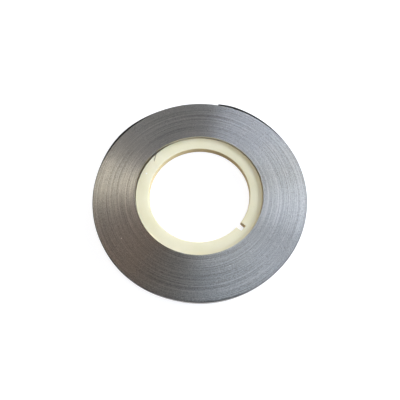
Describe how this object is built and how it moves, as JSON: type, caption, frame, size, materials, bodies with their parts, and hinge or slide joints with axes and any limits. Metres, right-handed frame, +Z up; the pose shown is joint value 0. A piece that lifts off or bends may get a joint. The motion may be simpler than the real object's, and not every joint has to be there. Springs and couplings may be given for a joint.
{
  "type": "coil of nickel-plated strip",
  "caption": "Flat coil of narrow nickel-plated steel strip wound edge-up on a keyed plastic ring core, stock for battery tabs and welded connections.",
  "frame": {"origin": "on the core's axis, in the plane of the coil's underside, which lies on the floor", "axes": "+Z up along the core's axis, +X from the axis towards the middle of the keyway"},
  "size_m": [0.1608, 0.1604, 0.008],
  "materials": {
    "nickel_plate": "satin",
    "core_plastic": "satin"
  },
  "bodies": {
    "root": {"core": "core_plastic", "strip_coil": "nickel_plate"}
  },
  "joints": []
}
